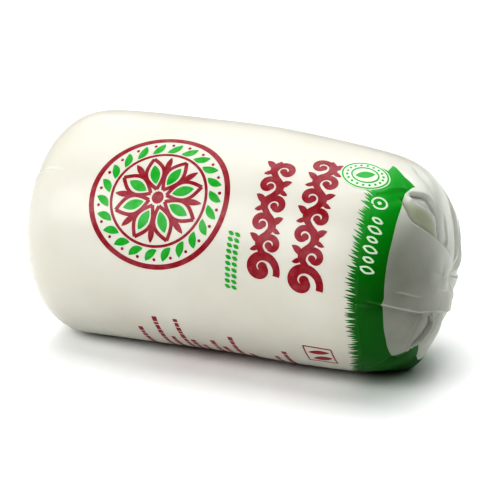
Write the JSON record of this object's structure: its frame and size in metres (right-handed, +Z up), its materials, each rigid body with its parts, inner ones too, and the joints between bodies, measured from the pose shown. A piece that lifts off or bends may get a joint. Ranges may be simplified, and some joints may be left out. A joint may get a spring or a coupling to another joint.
{
  "type": "packed tulum cheese",
  "caption": "Film-wrapped roll of tulum cheese lying on its side, with full rounded ends, overlapping film folds on one end and a green printed band beside them.",
  "frame": {"origin": "centre of the underside of the bounding box, on the surface that the pack rests on", "axes": "+X along the pack towards the end with the printed band and the folds, +Z up, printed side towards -Y"},
  "size_m": [0.1638, 0.09, 0.0888],
  "materials": {
    "printed_film": "satin white film over pale cheese, slightly translucent",
    "green_print": "green ink printed on satin film",
    "red_print": "dark red ink printed on satin film",
    "pale_print": "film left white inside the printed green"
  },
  "bodies": {
    "root": {"cheese_pack": "printed_film"}
  },
  "joints": []
}
